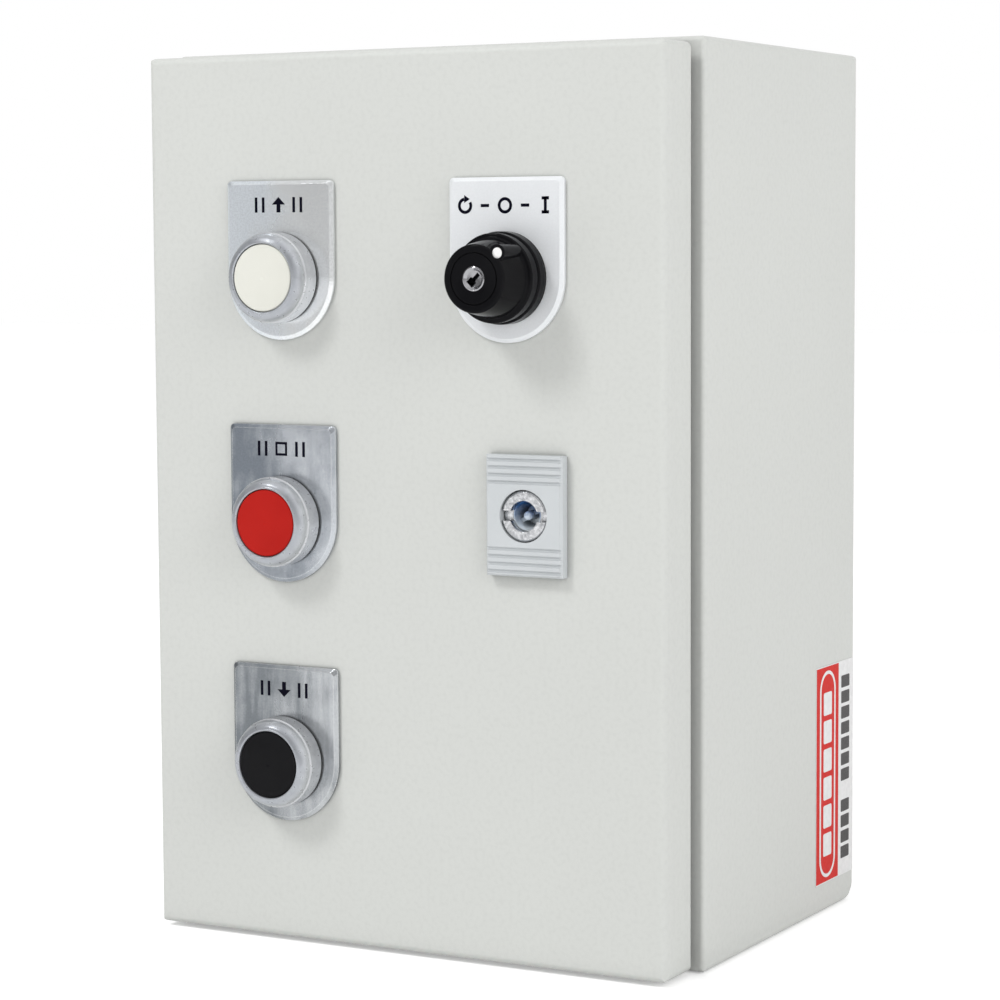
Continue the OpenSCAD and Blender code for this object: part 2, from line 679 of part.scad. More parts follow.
module door_timer_case() color("whitesmoke") difference() {
    rail_case(timer_span[0], timer_span[1], upper_rail_z,
        rail_outline(86, module_d, 48, module_nose_d - 4));
    screw_wells(timer_span[0], upper_rail_z, 8, 9, 5, 34, module_d);
    on_rail(timer_span[0] + timer_span[1] / 2, upper_rail_z) translate([0, 0, module_nose_d - 4]) {
        translate([0, 0, -7]) cylinder(r = dial_r + 0.6, h = 10);
        translate([0, 0, -16]) cylinder(r = 3 + running, h = 12);
    }
}

// Twenty-four hour dial with a rim of switching tabs
module timer_dial() color("gainsboro")
    on_rail(timer_span[0] + timer_span[1] / 2, upper_rail_z)
    translate([0, 0, module_nose_d - 4]) difference() {
        union() {
            translate([0, 0, -15]) cylinder(r = 3, h = 10);
            translate([0, 0, -6.5]) cylinder(r = dial_r, h = 6);
            translate([0, 0, -6.5]) cylinder(r = 7, h = 9);
        }
        translate([0, 0, -2]) tube(dial_r - 3, 9, 4);
        for (a = [0 : 15 : 345]) rotate(a) translate([dial_r, 0, -3]) block([4, 0.9, 5]);
        translate([0, 0, 1.4]) block([1.4, 20, 3]);
    }

// Small contactor with a bar in front that follows its contacts
module contactor_case(at) color("#e9e7e1") difference() {
    rail_case(at[0], at[1], middle_rail_z, rail_outline(contactor_h, 40, 36, contactor_d));
    screw_wells(at[0], middle_rail_z, 7.5, 10, 4, 23.5, 40, 3);
    on_rail(at[0] + at[1] / 2, middle_rail_z) {
        translate([0, 0, contactor_d - 12 - carrier_spare])
            block([carrier[0] + 0.12, carrier[1] + 0.12, 20]);
        for (s = [-1, 1]) translate([0, s * 12, contactor_d - 1]) block([30, 0.8, 3]);
    }
}

module contactor_carrier(at) color("#2d4f7a")
    on_rail(at[0] + at[1] / 2, middle_rail_z)
    translate([0, 0, contactor_d - 12 + carrier_travel]) difference() {
        block([carrier[0], carrier[1], 12]);
        translate([0, 0, 11]) block([carrier[0] + 1, 1, 3]);
        translate([0, 0, 11]) block([1, carrier[1] + 1, 3]);
    }

module contactor_interlock() color("dimgray") difference() {
    rail_case(interlock_span[0], interlock_span[1], middle_rail_z,
        rail_outline(contactor_h - 8, 36, 30, 50));
    on_rail(interlock_span[0], middle_rail_z)
        for (s = [-1, 1]) translate([interlock_span[1] / 2, s * 8, 48]) cylinder(r = 2, h = 5);
}

module terminal(x, w) difference() {
    rail_case(x, w, lower_rail_z, rail_outline(44, 24, 30, 34));
    for (s = [-1, 1]) on_rail(x + w / 2, lower_rail_z + s * 17.8) translate([0, 0, 16])
        cylinder(r = 1.7, h = 20);
}

module terminal_blocks() color("silver")
    for (i = [0 : terminal_count - 1]) terminal(terminal_x + i * terminal_pitch, terminal_pitch - 0.1);

module earth_terminals() color("yellowgreen")
    for (i = [0, 1]) terminal(earth_x + i * 6.2, 6.1);

module rail_end_stops() color("gray") for (x = [terminal_x - 8.2, earth_x + 12.4])
    rail_case(x, 8, lower_rail_z, rail_outline(46, 20, 26, 30));

// Brass screws down in the wells of the terminals
module terminal_screws() color("goldenrod") {
    for (i = [0 : terminal_count - 1]) terminal_screw_pair(terminal_x + (i + 0.5) * terminal_pitch - 0.05);
    for (i = [0, 1]) terminal_screw_pair(earth_x + i * 6.2 + 3.05);
}

module terminal_screw_pair(x) for (s = [-1, 1])
    on_rail(x, lower_rail_z + s * 17.8) translate([0, 0, 16]) difference() {
        cylinder(r = 1.6, h = 5);
        translate([0, 0, 4.2]) block([4, 0.6, 2]);
    }

// Slotted trunking between the contactors and the terminals
module wiring_duct() color("gray") on_plate(0, duct_z) difference() {
    block([duct_size[0], duct_size[1], duct_size[2]]);
    translate([0, 0, 1.2]) block([duct_size[0] + 2, duct_size[1] - 2.4, duct_size[2]]);
    for (i = [-6 : 6]) translate([i * 10, 0, 10]) block([4, duct_size[1] + 2, duct_size[2]]);
}

module duct_cover() color("gray") on_plate(0, duct_z) translate([0, 0, duct_size[2]]) difference() {
    translate([0, 0, -4]) block([duct_size[0], duct_size[1] + 2.6, 5.2]);
    translate([0, 0, -5]) block([duct_size[0] + 2, duct_size[1] + 0.2, 5]);
}

// Straight length of wire up the front of the plate
module riser(x, low, high, v) on_plate(x, 0) translate([0, low, v]) rotate([-90, 0, 0])
    cylinder(r = wire_r, h = high - low, $fn = 24);

module internal_wires() color("navy") {
    // From the upper row to the contactors
    for (x = [-54, -44, -34, -24, 1, 11, 21, 31]) riser(x, contactor_top_z, upper_low_z, 26);
    // From the upper row down to the duct
    for (x = [50, 60]) riser(x, duct_z + duct_size[1] / 2 - 2, upper_low_z, 26);
    // From the contactors into the duct
    for (x = [-60, -50, -40, -30, 0, 10, 20, 30])
        riser(x, duct_z + duct_size[1] / 2 - 2, contactor_low_z, 26);
    // From the duct to the terminals
    for (x = [-40 : 10 : 20]) riser(x, terminal_top_z, duct_z - duct_size[1] / 2 + 2, 20);
}

// Straight piece of cable with a slightly larger round joint at its far end
module cable_piece(a, b, r) {
    d = b - a;
    translate(a) rotate([0, acos(d[2] / norm(d)), atan2(d[1], d[0])])
        cylinder(r = r, h = norm(d), $fn = 32);
    translate(b) sphere(r = r + 0.15, $fn = 32);
}

// Cable loom in a spiral sleeve, from the mounting plate to the controls on the door
module door_loom() color("#222222") for (i = [0 : len(loom_path) - 2])
    cable_piece(loom_path[i], loom_path[i + 1], loom_r);

// ------------------------------------------------------------- parts

module pushbutton_bezels() for (at = button_places) button_bezel(at);

module bezel_seals() color("#1c1c1c") for (at = control_places) bezel_seal(at);

module panel_nuts() color("silver") for (at = control_places) panel_nut(at);

module pushbutton_contact_blocks() color("whitesmoke") for (at = button_places) contact_block(at, 4);

module selector_contact_block() color("whitesmoke") contact_block(selector_at, guide_r + 0.6);

// ---------------------------------------------------------------- drawing

body_shell();
mounting_plate();
plate_nuts();
gland_plate();
gland_plate_seal();
gland_plate_screws();
entry_grommets();
hinge_pins();
din_rails();
rail_screws();
breaker_case();
power_supply();
door_timer_case();
contactor_case(open_contactor_span);  // open_contactor_case
contactor_case(close_contactor_span);  // close_contactor_case
contactor_interlock();
terminal_blocks();
earth_terminals();
rail_end_stops();
wiring_duct();
duct_cover();
terminal_screws();
internal_wires();
door_loom();
side_sticker();
breaker_toggle();
timer_dial();
contactor_carrier(open_contactor_span);  // open_contactor_carrier
contactor_carrier(close_contactor_span);  // close_contactor_carrier
door_shell();
door_gasket();
legend_plate(open_at);  // open_legend_plate
legend_plate(stop_at);  // stop_legend_plate
legend_plate(close_at);  // close_legend_plate
legend_plate(selector_at);  // selector_legend_plate
pushbutton_bezels();
selector_bezel();
bezel_seals();
panel_nuts();
pushbutton_contact_blocks();
selector_contact_block();
lock_plate();
lock_housing();
lock_nut();
button_spring(open_at);  // open_spring
button_spring(stop_at);  // stop_spring
button_spring(close_at);  // close_spring
button_cap(open_at, "ivory");  // open_cap
button_cap(stop_at, "firebrick");  // stop_cap
button_cap(close_at, "#1b1b1b");  // close_cap
button_plunger(open_at);  // open_plunger
button_plunger(stop_at);  // stop_plunger
button_plunger(close_at);  // close_plunger
selector_knob();
key_barrel();
selector_rotor();
lock_barrel();
lock_cam();
cam_screw();
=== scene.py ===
"""Looks of the coop door control box: materials, printed marks, wiring, light and camera."""
import math

import bmesh
import bpy
from mathutils import Matrix, Vector


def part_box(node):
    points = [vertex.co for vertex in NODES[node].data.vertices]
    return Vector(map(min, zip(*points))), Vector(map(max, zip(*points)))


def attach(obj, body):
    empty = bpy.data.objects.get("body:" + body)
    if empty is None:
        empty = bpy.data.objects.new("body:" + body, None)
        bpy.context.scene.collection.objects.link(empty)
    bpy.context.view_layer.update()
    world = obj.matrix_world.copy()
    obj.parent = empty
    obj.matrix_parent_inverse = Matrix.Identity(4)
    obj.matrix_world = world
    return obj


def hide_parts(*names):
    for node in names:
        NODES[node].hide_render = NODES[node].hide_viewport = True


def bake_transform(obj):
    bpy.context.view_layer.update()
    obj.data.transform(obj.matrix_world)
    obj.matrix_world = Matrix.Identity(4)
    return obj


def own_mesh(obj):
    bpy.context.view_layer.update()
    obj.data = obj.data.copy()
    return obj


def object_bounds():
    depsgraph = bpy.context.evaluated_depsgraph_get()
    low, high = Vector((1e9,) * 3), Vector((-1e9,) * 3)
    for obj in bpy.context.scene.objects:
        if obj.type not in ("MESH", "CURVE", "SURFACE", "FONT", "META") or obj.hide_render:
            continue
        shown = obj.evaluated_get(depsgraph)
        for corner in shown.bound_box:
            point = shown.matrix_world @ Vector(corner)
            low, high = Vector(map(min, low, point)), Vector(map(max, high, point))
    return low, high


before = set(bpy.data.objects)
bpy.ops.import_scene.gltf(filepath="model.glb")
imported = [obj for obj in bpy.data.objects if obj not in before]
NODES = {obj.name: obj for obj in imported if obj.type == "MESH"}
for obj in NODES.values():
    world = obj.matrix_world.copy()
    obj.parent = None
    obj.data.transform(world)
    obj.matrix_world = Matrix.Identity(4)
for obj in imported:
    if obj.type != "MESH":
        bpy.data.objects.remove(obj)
CAD_BOX = [list(corner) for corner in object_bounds()]

# Blender works in metres; a plain number below is in millimetres when it is multiplied by MM
MM = 0.001


def centre_of(node):
    """The middle of a CAD node's box, in metres."""
    low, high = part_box(node)
    return (low + high) / 2


def height_span(node):
    """The lowest and the highest z of a CAD node, in metres."""
    low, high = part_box(node)
    return low.z, high.z


# The door's front face, the controls and half the height of the body, from the CAD nodes
DOOR_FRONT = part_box("door_shell")[0].y
LEGEND_THICK = (DOOR_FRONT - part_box("open_legend_plate")[0].y) / MM
BUTTONS = {name: centre_of(name + "_cap") for name in ("open", "stop", "close")}
SELECTOR = centre_of("key_barrel")
LOCK = centre_of("lock_housing")
BODY_HALF_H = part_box("body_shell")[1].z / MM


# ---------------------------------------------------------------- materials

class Mat:
    """A node material with short calls for the usual steps."""

    def __init__(self, name, rough=0.5, metal=0.0, specular=0.5):
        self.mat = bpy.data.materials.new(name)
        self.mat.use_nodes = True
        self.tree = self.mat.node_tree
        self.bsdf = self.tree.nodes["Principled BSDF"]
        self.bsdf.inputs["Roughness"].default_value = rough
        self.bsdf.inputs["Metallic"].default_value = metal
        self.bsdf.inputs["Specular IOR Level"].default_value = specular
        self.place = self.new("ShaderNodeTexCoord").outputs["Object"]
        self.height = None

    def new(self, kind, **values):
        """A new shader node with some of its properties set."""
        node = self.tree.nodes.new(kind)
        for key, value in values.items():
            setattr(node, key, value)
        return node

    def link(self, output, target):
        self.tree.links.new(output, target)

    def stretched(self, scale):
        """The object's coordinates in metres, stretched by scale."""
        mapping = self.new("ShaderNodeMapping")
        mapping.inputs["Scale"].default_value = scale
        self.link(self.place, mapping.inputs["Vector"])
        return mapping.outputs["Vector"]

    def axis(self, name, low, high):
        """The place along one axis, from 0 at low to 1 at high."""
        split = self.new("ShaderNodeSeparateXYZ")
        self.link(self.place, split.inputs["Vector"])
        span = self.new("ShaderNodeMapRange")
        span.inputs["From Min"].default_value = low
        span.inputs["From Max"].default_value = high
        self.link(split.outputs[name], span.inputs["Value"])
        return span.outputs["Result"]

    def noise(self, scale, detail, rough=0.5, stretch=None):
        """Noise with scale cells to the metre: 1000 gives grain of one millimetre."""
        node = self.new("ShaderNodeTexNoise")
        node.inputs["Scale"].default_value = scale
        node.inputs["Detail"].default_value = detail
        node.inputs["Roughness"].default_value = rough
        self.link(self.stretched(stretch) if stretch else self.place, node.inputs["Vector"])
        return node.outputs["Fac"]

    def ramp(self, fac, stops, interpolation="LINEAR"):
        """A colour ramp over (position, colour) stops; a single number makes a grey."""
        node = self.new("ShaderNodeValToRGB")
        ramp = node.color_ramp
        ramp.interpolation = interpolation
        while len(ramp.elements) < len(stops):
            ramp.elements.new(0.5)
        for element, (position, colour) in zip(ramp.elements, stops):
            element.position = position
            grey = isinstance(colour, (int, float))
            element.color = (colour, colour, colour, 1) if grey else (*colour, 1)
        self.link(fac, node.inputs["Fac"])
        return node.outputs["Color"]

    def mix(self, fac, a, b, mode="MIX"):
        """Mixes two colours; each is a socket or an rgb tuple, and fac a socket or number."""
        node = self.new("ShaderNodeMix", data_type="RGBA", blend_type=mode)
        # A Mix node has sockets for every kind of value; these are the factor and the two colours
        factor, first, second, result = node.inputs[0], node.inputs[6], node.inputs[7], node.outputs[2]
        for value, socket in ((fac, factor), (a, first), (b, second)):
            if hasattr(value, "is_linked"):
                self.link(value, socket)
            elif socket is factor:
                socket.default_value = value
            else:
                socket.default_value = (*value, 1)
        return result

    def colour(self, socket):
        self.link(socket, self.bsdf.inputs["Base Color"])

    def roughness(self, socket):
        self.link(socket, self.bsdf.inputs["Roughness"])

    def painted_crevice_shade(self, reach_mm, deepest):
        """Painted shade: a grey that is white in the open and falls to deepest inside narrow gaps."""
        node = self.new("ShaderNodeAmbientOcclusion", samples=6)
        node.inputs["Distance"].default_value = reach_mm * MM
        return self.ramp(node.outputs["AO"], [(0.2, deepest), (0.75, 1.0)])

    def edges(self, radius_mm):
        """A grey that is white along sharp edges: painted highlights where the edges would catch the light.
        """
        soft = self.new("ShaderNodeBevel")
        soft.inputs["Radius"].default_value = radius_mm * MM
        flat = self.new("ShaderNodeNewGeometry")
        alike = self.new("ShaderNodeVectorMath", operation="DOT_PRODUCT")
        self.link(soft.outputs["Normal"], alike.inputs[0])
        self.link(flat.outputs["Normal"], alike.inputs[1])
        return self.ramp(alike.outputs["Value"], [(0.90, 1.0), (0.985, 0.0)])

    def bump(self, socket, depth_mm, strength):
        """Adds a layer of relief, with its depth in millimetres."""
        node = self.new("ShaderNodeBump")
        node.inputs["Distance"].default_value = depth_mm * MM
        node.inputs["Strength"].default_value = strength
        self.link(socket, node.inputs["Height"])
        if self.height:
            self.link(self.height, node.inputs["Normal"])
        self.height = node.outputs["Normal"]
        self.link(self.height, self.bsdf.inputs["Normal"])

    def round_edges(self, radius_mm):
        """Softens the shading of sharp edges."""
        bevel = self.new("ShaderNodeBevel")
        bevel.inputs["Radius"].default_value = radius_mm * MM
        self.height = bevel.outputs["Normal"]
        self.link(self.height, self.bsdf.inputs["Normal"])


def powder_coat():
    """Light grey powder coat with a fine orange-peel relief, a little darker in its dips, and painted shade
    in narrow gaps.
    """
    m = Mat("powder_coat", specular=0.4)
    m.round_edges(0.4)
    tone = m.ramp(m.noise(9, 3), [(0.3, (0.592, 0.603, 0.580)), (0.7, (0.608, 0.620, 0.596))])
    peel = m.noise(620, 2, 0.45)
    darker_in_dips = m.ramp(peel, [(0.3, 0.93), (0.55, 1.0)])
    clean = m.mix(0.5, tone, darker_in_dips, "MULTIPLY")
    # Painted shade darkens narrow gaps, except close to the floor, where the underside would darken too
    reach = 12
    above_floor = m.axis("Z", -BODY_HALF_H * MM, (reach - BODY_HALF_H) * MM)
    m.colour(m.mix(above_floor, clean, m.painted_crevice_shade(reach, 0.25), "MULTIPLY"))
    m.roughness(m.ramp(m.noise(420, 3), [(0.3, 0.36), (0.7, 0.5)]))
    m.bump(peel, 0.045, 0.7)
    m.bump(m.noise(1500, 1, 0.4), 0.015, 0.5)
    return m.mat


# Colour of the painted highlights along the edges of the legend plates
EDGE_HIGHLIGHT = (0.94, 0.95, 0.97)
LEGEND_HALF_W = 20


def legend_metal(name, low, high, metal=0.8, grain=0.5, rough=0.26, streaks=0.0, painted_reflection=0.0):
    """Anodised sheet: patches, rolling streaks, fine grain, a painted reflection that lightens it to the
    right and painted highlights along its edges.
    """
    m = Mat(name, metal=metal)
    m.round_edges(0.3)
    cloud = m.noise(70, 4, 0.55)
    rolled = m.noise(190, 3, 0.6, (1, 1, 0.16))
    centre = BUTTONS["open"].x
    across = m.axis("X", centre - LEGEND_HALF_W * MM, centre + LEGEND_HALF_W * MM)
    # Painted reflection: by this amount the sheet grows lighter towards its right side
    patches = m.mix(painted_reflection, m.mix(streaks, cloud, rolled), across)
    fine = m.noise(1500, 3, 0.6)
    base = m.ramp(patches, [(0.38, low), (0.62, high)])
    fleck = m.ramp(fine, [(0.40, 0.80), (0.60, 1.0)])
    sheet = m.mix(grain, base, fleck, "MULTIPLY")
    # Painted highlights brighten the sheet along its sharp edges
    m.colour(m.mix(m.edges(0.4), sheet, EDGE_HIGHLIGHT))
    m.roughness(m.ramp(patches, [(0.3, rough + 0.08), (0.7, rough - 0.06)]))
    m.bump(fine, 0.008, 0.5)
    return m.mat


def satin_silver():
    """Satin plating of the push-button rings, with painted shade that darkens the rolled front against the
    side.
    """
    m = Mat("satin_silver", metal=0.7)
    plating = m.ramp(m.noise(260, 4, 0.6), [(0.35, (0.60, 0.61, 0.63)), (0.65, (0.70, 0.71, 0.73))])
    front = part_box("pushbutton_bezels")[0].y
    roll_depth = 6
    back = m.axis("Y", front, front + roll_depth * MM)
    # Painted shade: darkest on the rolled front, fading out towards the side wall
    painted_front_shade = m.ramp(back, [(0.1, (0.70, 0.72, 0.75)), (0.75, (1.0, 1.0, 1.0))])
    m.colour(m.mix(1.0, plating, painted_front_shade, "MULTIPLY"))
    m.roughness(m.ramp(m.noise(700, 3), [(0.3, 0.26), (0.7, 0.38)]))
    return m.mat


def moulded(name, dark, light, rough, grain=1500, depth=0.01, edges=0.25, specular=0.4):
    """Injection-moulded plastic: slight colour drift, eroded grain, soft edges."""
    m = Mat(name, specular=specular)
    m.round_edges(edges)
    m.colour(m.ramp(m.noise(60, 3), [(0.3, dark), (0.7, light)]))
    m.roughness(m.ramp(m.noise(grain * 0.6, 3), [(0.3, rough - 0.06), (0.7, rough + 0.08)]))
    m.bump(m.noise(grain, 2), depth, 0.6)
    return m.mat


def rubber(name, dark, light, rough=0.75):
    """Matt rubber or foam with a fine uneven surface."""
    m = Mat(name, rough=rough, specular=0.2)
    m.colour(m.ramp(m.noise(300, 4), [(0.3, dark), (0.7, light)]))
    m.bump(m.noise(1400, 4), 0.05, 0.7)
    return m.mat


def plated(name, low, high):
    """Zinc-plated steel: cloudy patches and fine scratches."""
    m = Mat(name, metal=1.0)
    m.round_edges(0.25)
    cloud = m.noise(180, 5, 0.65)
    m.colour(m.ramp(cloud, [(0.3, low), (0.7, high)]))
    m.roughness(m.ramp(cloud, [(0.3, 0.46), (0.7, 0.28)]))
    m.bump(m.noise(1600, 3, 0.6, (0.2, 1, 1)), 0.01, 0.5)
    return m.mat


def cast_zinc(name, low, high):
    """Die-cast zinc of the lock housing: grainy, with painted shade in its corners."""
    m = Mat(name, metal=1.0)
    m.round_edges(0.25)
    grain = m.noise(900, 4, 0.6)
    cast = m.ramp(grain, [(0.3, low), (0.7, high)])
    # Painted shade darkens the corners and slots
    m.colour(m.mix(1.0, cast, m.painted_crevice_shade(2, 0.2), "MULTIPLY"))
    m.roughness(m.ramp(grain, [(0.3, 0.34), (0.7, 0.18)]))
    m.bump(m.noise(1600, 3, 0.6), 0.01, 0.5)
    return m.mat


def polished(name, colour, rough):
    """Smooth bare metal with faint marks."""
    m = Mat(name, metal=1.0)
    m.round_edges(0.15)
    shade = tuple(c * 0.85 for c in colour)
    m.colour(m.ramp(m.noise(400, 3), [(0.3, shade), (0.7, colour)]))
    m.roughness(m.ramp(m.noise(900, 4), [(0.3, rough), (0.75, rough + 0.12)]))
    return m.mat


def printed(name, colour, rough=0.38, specular=0.3):
    """Screen-printed ink or film, with faint unevenness."""
    m = Mat(name, specular=specular)
    shade = tuple(c * 0.9 for c in colour)
    m.colour(m.ramp(m.noise(500, 3), [(0.3, shade), (0.7, colour)]))
    m.roughness(m.ramp(m.noise(800, 3), [(0.3, rough - 0.05), (0.7, rough + 0.08)]))
    return m.mat


def bichromate(name, low, high):
    """Blue-passivated zinc inside the lock, with painted light that leaves the upper half of the bowl deep
    blue and the lower half pale, and painted shade in its narrow gaps.
    """
    m = Mat(name, rough=0.2, metal=0.4)
    m.round_edges(0.2)
    bowl_r = 6
    # Painted light: from deep blue at the top of the bowl to pale at the bottom, as if lit from above
    down = m.axis("Z", LOCK.z + bowl_r * MM, LOCK.z - bowl_r * MM)
    uneven = m.mix(0.3, down, m.noise(420, 3, 0.6))
    film = m.ramp(uneven, [(0.3, low), (0.65, high)])
    # Painted shade in the narrow gaps of the lock
    m.colour(m.mix(1.0, film, m.painted_crevice_shade(3, 0.3), "MULTIPLY"))
    m.bump(m.noise(900, 3), 0.02, 0.5)
    return m.mat


def banded(name, colours, axis, pitch_mm, start_mm):
    """Plastic whose colour changes in equal bands along one axis, a little soiled."""
    m = Mat(name, rough=0.42, specular=0.35)
    along = m.axis(axis, start_mm * MM, (start_mm + pitch_mm * len(colours)) * MM)
    stops = [(i / len(colours), colour) for i, colour in enumerate(colours)]
    bands = m.ramp(along, stops, "CONSTANT")
    soil = m.ramp(m.noise(500, 2), [(0.3, 0.0), (0.7, 0.2)])
    m.colour(m.mix(soil, bands, (0.02, 0.02, 0.02)))
    m.bump(m.noise(1200, 2), 0.01, 0.5)
    return m.mat


def glowing(name, colour, strength):
    """A lit indicator lens."""
    m = Mat(name, rough=0.15)
    shade = tuple(c * 0.8 for c in colour)
    m.colour(m.ramp(m.noise(900, 2), [(0.3, shade), (0.7, colour)]))
    m.bsdf.inputs["Emission Color"].default_value = (*colour, 1)
    m.bsdf.inputs["Emission Strength"].default_value = strength
    return m.mat


COAT = powder_coat()
# The button legends get painted reflections that lighten them to the right
LEGEND_OPEN = legend_metal("legend_open", (0.86, 0.91, 0.96), (0.97, 0.99, 1.0), painted_reflection=0.5)
LEGEND_STOP = legend_metal("legend_stop", (0.25, 0.28, 0.32), (0.62, 0.65, 0.69), streaks=0.4, painted_reflection=0.25)
LEGEND_CLOSE = legend_metal("legend_close", (0.23, 0.25, 0.27), (0.56, 0.58, 0.60), streaks=0.6, painted_reflection=0.2)
LEGEND_PALE = legend_metal("legend_pale", (0.82, 0.84, 0.86), (0.85, 0.87, 0.89), 0.3, 0.12, 0.42)
SILVER = satin_silver()
IVORY = moulded("ivory_cap", (0.68, 0.68, 0.62), (0.71, 0.71, 0.65), 0.4, 1100, 0.012, specular=0.25)
RED = moulded("red_cap", (0.40, 0.007, 0.004), (0.45, 0.010, 0.006), 0.38, 1100, 0.012, specular=0.15)
BLACK = moulded("black_cap", (0.005, 0.005, 0.006), (0.008, 0.008, 0.009), 0.36, 1100, 0.014, specular=0.1)
KNOB = moulded("knob_plastic", (0.005, 0.005, 0.006), (0.008, 0.008, 0.009), 0.12, 900, 0.004, 0.4, 0.06)
ESCUTCHEON = moulded("escutcheon_plastic", (0.53, 0.555, 0.57), (0.57, 0.595, 0.61), 0.36, 1300, 0.006, 0.3)
PALE = moulded("pale_plastic", (0.60, 0.61, 0.60), (0.66, 0.67, 0.66), 0.48)
CREAM = moulded("cream_plastic", (0.58, 0.56, 0.49), (0.62, 0.60, 0.53), 0.5)
DARK = moulded("dark_plastic", (0.014, 0.015, 0.017), (0.024, 0.025, 0.028), 0.45, specular=0.3)
GREY = moulded("grey_plastic", (0.20, 0.21, 0.215), (0.25, 0.26, 0.265), 0.55)
TERMINAL = moulded("terminal_plastic", (0.28, 0.29, 0.29), (0.34, 0.35, 0.35), 0.5)
BLUE = moulded("blue_plastic", (0.02, 0.07, 0.22), (0.03, 0.09, 0.27), 0.42)
RUBBER = rubber("black_rubber", (0.010, 0.010, 0.010), (0.018, 0.018, 0.018))
FOAM = rubber("seal_foam", (0.03, 0.03, 0.03), (0.06, 0.06, 0.06), 0.9)
ZINC = plated("zinc_plate", (0.46, 0.47, 0.49), (0.66, 0.67, 0.69))
ZINC_RAW = cast_zinc("lock_zinc", (0.42, 0.43, 0.45), (0.92, 0.93, 0.95))
ZINC_BLUE = bichromate("lock_zinc_blue", (0.03, 0.13, 0.36), (0.88, 0.95, 1.0))
BRASS = polished("brass_screw", (0.75, 0.56, 0.25), 0.22)
CHROME = polished("key_chrome", (0.48, 0.48, 0.50), 0.1)
SPRING = polished("spring_steel", (0.55, 0.55, 0.56), 0.2)
INK = printed("legend_ink", (0.003, 0.003, 0.010), 0.5, 0.05)
WHITE_INK = printed("white_ink", (0.86, 0.86, 0.85))
RED_FILM = printed("red_film", (0.62, 0.020, 0.015), 0.4, 0.1)
WHITE_FILM = printed("white_film", (0.78, 0.78, 0.78), 0.4, 0.2)
BLACK_FILM = printed("black_film", (0.035, 0.032, 0.032), 0.3)
LAMP = glowing("lamp_green", (0.05, 0.70, 0.20), 1.2)
EARTH_GREEN = (0.05, 0.30, 0.06)
EARTH_YELLOW = (0.62, 0.55, 0.05)
EARTH = banded("earth_plastic", [EARTH_GREEN, EARTH_YELLOW] * 3, "Z", 7.5, -116)
SLEEVE = moulded("loom_sleeve", (0.012, 0.012, 0.012), (0.02, 0.02, 0.02), 0.5, specular=0.3)
WIRE_COLOURS = {
    "brown": moulded("wire_brown", (0.13, 0.05, 0.02), (0.17, 0.07, 0.03), 0.4),
    "blue": moulded("wire_blue", (0.01, 0.05, 0.28), (0.02, 0.07, 0.34), 0.4),
    "black": moulded("wire_black", (0.010, 0.010, 0.010), (0.02, 0.02, 0.02), 0.4),
    "red": moulded("wire_red", (0.36, 0.02, 0.015), (0.42, 0.03, 0.02), 0.4),
    "grey": moulded("wire_grey", (0.22, 0.22, 0.22), (0.28, 0.28, 0.28), 0.4),
}

NODE_MATERIALS = {
    COAT: ["body_shell", "door_shell", "gland_plate"],
    ZINC: ["mounting_plate", "plate_nuts", "gland_plate_screws", "hinge_pins", "din_rails", "rail_screws",
           "lock_nut", "lock_cam", "cam_screw", "panel_nuts"],
    RUBBER: ["entry_grommets", "bezel_seals"],
    FOAM: ["gland_plate_seal", "door_gasket"],
    PALE: ["breaker_case", "door_timer_case", "timer_dial", "pushbutton_contact_blocks",
           "selector_contact_block"],
    DARK: ["power_supply", "contactor_interlock", "breaker_toggle", "open_plunger", "stop_plunger",
           "close_plunger", "selector_rotor"],
    CREAM: ["open_contactor_case", "close_contactor_case"],
    TERMINAL: ["terminal_blocks"],
    EARTH: ["earth_terminals"],
    GREY: ["rail_end_stops", "wiring_duct", "duct_cover"],
    BRASS: ["terminal_screws"],
    SLEEVE: ["door_loom", "internal_wires"],
    WHITE_FILM: ["side_sticker"],
    BLUE: ["open_contactor_carrier", "close_contactor_carrier"],
    LEGEND_OPEN: ["open_legend_plate"],
    LEGEND_STOP: ["stop_legend_plate"],
    LEGEND_CLOSE: ["close_legend_plate"],
    LEGEND_PALE: ["selector_legend_plate"],
    SILVER: ["pushbutton_bezels"],
    KNOB: ["selector_bezel", "selector_knob"],
    CHROME: ["key_barrel"],
    SPRING: ["open_spring", "stop_spring", "close_spring"],
    IVORY: ["open_cap"],
    RED: ["stop_cap"],
    BLACK: ["close_cap"],
    ESCUTCHEON: ["lock_plate"],
    ZINC_RAW: ["lock_housing"],
    ZINC_BLUE: ["lock_barrel"],
}
for material, names in NODE_MATERIALS.items():
    for name in names:
        NODES[name].data.materials.clear()
        NODES[name].data.materials.append(material)


# ---------------------------------------------------------------- mesh tools

def add_mesh(name, bm, material, body, smooth_angle=35):
    """Makes a piece from a bmesh, smooth below an angle in degrees. Without a body it is left unattached."""
    bmesh.ops.remove_doubles(bm, verts=bm.verts, dist=1e-7)
    bmesh.ops.recalc_face_normals(bm, faces=bm.faces)
    mesh = bpy.data.meshes.new(name)
    bm.to_mesh(mesh)
    bm.free()
    mesh.shade_smooth()
    mesh.set_sharp_from_angle(angle=math.radians(smooth_angle))
    obj = bpy.data.objects.new(name, mesh)
    bpy.context.scene.collection.objects.link(obj)
    mesh.materials.append(material)
    if body:
        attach(obj, body)
    return obj


